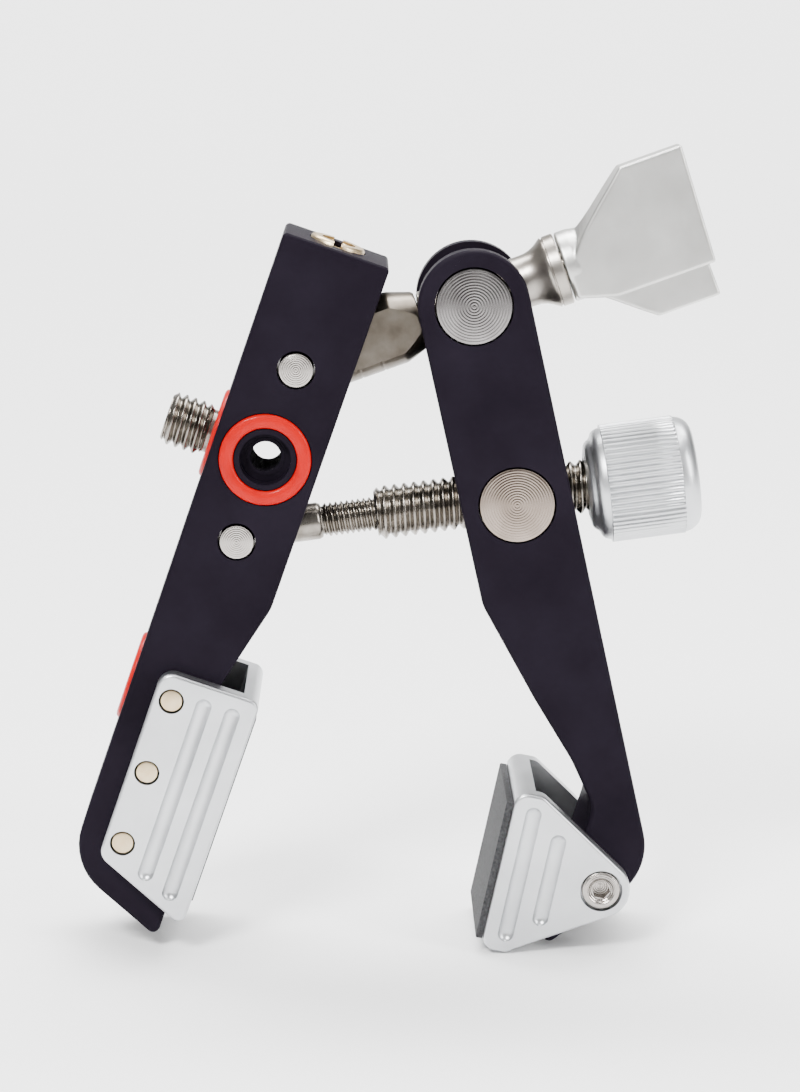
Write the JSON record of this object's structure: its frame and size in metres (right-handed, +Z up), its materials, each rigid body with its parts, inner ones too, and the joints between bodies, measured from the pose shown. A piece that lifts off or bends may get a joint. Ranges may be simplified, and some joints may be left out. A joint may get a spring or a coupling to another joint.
{
  "type": "super clamp",
  "caption": "Photographic super clamp: slotted fixed arm and swinging arm joined by an adjusting screw with knurled knob and a wing-handled clamping screw, with a swivelling padded jaw.",
  "frame": {"origin": "centre of the fixed jaw's gripping face", "axes": "+Z up along the clamp's height, +Y away from the viewer across the arms' thickness, +X from the fixed arm to the moving arm"},
  "size_m": [0.1156, 0.0254, 0.1437],
  "materials": {
    "black_anodised": "matte black anodised",
    "satin_aluminium": "bead blasted clear anodised",
    "cast_aluminium": "satin",
    "steel": "turned",
    "bright_steel": "fine concentric turning",
    "pale_brass": "satin nickelled",
    "red_plastic": "gloss",
    "rubber": "fine grain"
  },
  "bodies": {
    "fixed_arm": {"fixed_arm": "black_anodised", "spigot_stud": "steel", "top_bush": "pale_brass", "front_port_ring": "red_plastic", "rear_port_ring": "red_plastic", "spigot_ring": "red_plastic", "side_port_ring": "red_plastic", "lower_link_pin": "bright_steel", "upper_link_pin": "bright_steel", "fixed_jaw_shoe": "satin_aluminium", "fixed_jaw_pad": "rubber", "jaw_rivet_1": "pale_brass", "jaw_rivet_2": "pale_brass", "jaw_rivet_3": "pale_brass"},
    "upper_link": {"link_sleeve": "steel"},
    "upper_trunnion": {"upper_trunnion": "bright_steel"},
    "wing_handle": {"clamp_spindle": "steel", "thrust_collar": "steel", "bell_collar": "steel", "wing_handle": "cast_aluminium", "handle_screw": "steel"},
    "moving_arm": {"moving_arm": "black_anodised"},
    "lower_trunnion": {"lower_trunnion": "bright_steel"},
    "swivel_jaw": {"moving_jaw_shoe": "satin_aluminium", "moving_jaw_pad": "rubber", "jaw_pivot_screw": "bright_steel", "jaw_pivot_nut": "steel"},
    "eye_rod": {"eye_rod": "steel"},
    "adjusting_sleeve": {"adjusting_sleeve": "steel"},
    "knob": {"adjusting_knob": "satin_aluminium", "knob_grub_screw": "steel"}
  },
  "joints": [
    {"name": "upper_link_swing", "type": "hinge", "parent": "fixed_arm", "child": "upper_link", "pos_m": [0.0134, 0, 0.07912], "axis": [0, 1, 0], "range_deg": [0, 0.941]},
    {"name": "spindle_travel", "type": "slide", "parent": "upper_link", "child": "upper_trunnion", "axis": [0.9422, 0, 0.335], "range_m": [0, 0.00187]},
    {"name": "handle_turn", "type": "hinge", "parent": "upper_trunnion", "child": "wing_handle", "pos_m": [0.04415, 0, 0.09005], "axis": [0.9422, 0, 0.335], "range_deg": [0, 540.01]},
    {"name": "jaw_close", "type": "hinge", "parent": "upper_trunnion", "child": "moving_arm", "pos_m": [0.04415, 0, 0.09005], "axis": [0, 1, 0], "range_deg": [0, 18.76]},
    {"name": "lower_trunnion_turn", "type": "hinge", "parent": "moving_arm", "child": "lower_trunnion", "pos_m": [0.05188, 0, 0.0552], "axis": [0, 1, 0], "range_deg": [-19.7, 0]},
    {"name": "jaw_swivel", "type": "hinge", "parent": "moving_arm", "child": "swivel_jaw", "pos_m": [0.06736, 0, -0.01461], "axis": [0, 1, 0], "range_deg": [-20, 20]},
    {"name": "eye_rod_swing", "type": "hinge", "parent": "fixed_arm", "child": "eye_rod", "pos_m": [0.00279, 0, 0.04882], "axis": [0, 1, 0], "range_deg": [-0.4448, 0]},
    {"name": "sleeve_travel", "type": "slide", "parent": "eye_rod", "child": "adjusting_sleeve", "axis": [-0.9917, 0, -0.1288], "range_m": [0, 0.0045]},
    {"name": "knob_turn", "type": "hinge", "parent": "adjusting_sleeve", "child": "knob", "pos_m": [0.0737, 0, 0.05803], "axis": [-0.9917, 0, -0.1288], "range_deg": [0, 1620.01]}
  ],
  "couplings": [
    {"joint": "knob_turn", "follows": "sleeve_travel", "rad_per_m": 6283.2},
    {"joint": "jaw_close", "follows": "sleeve_travel", "rad_per_m": 72.758},
    {"joint": "upper_link_swing", "follows": "sleeve_travel", "rad_per_m": 3.6486},
    {"joint": "lower_trunnion_turn", "follows": "sleeve_travel", "rad_per_m": -76.407},
    {"joint": "handle_turn", "follows": "spindle_travel", "rad_per_m": 5026.5},
    {"joint": "eye_rod_swing", "follows": "spindle_travel", "rad_per_m": -4.1376}
  ]
}
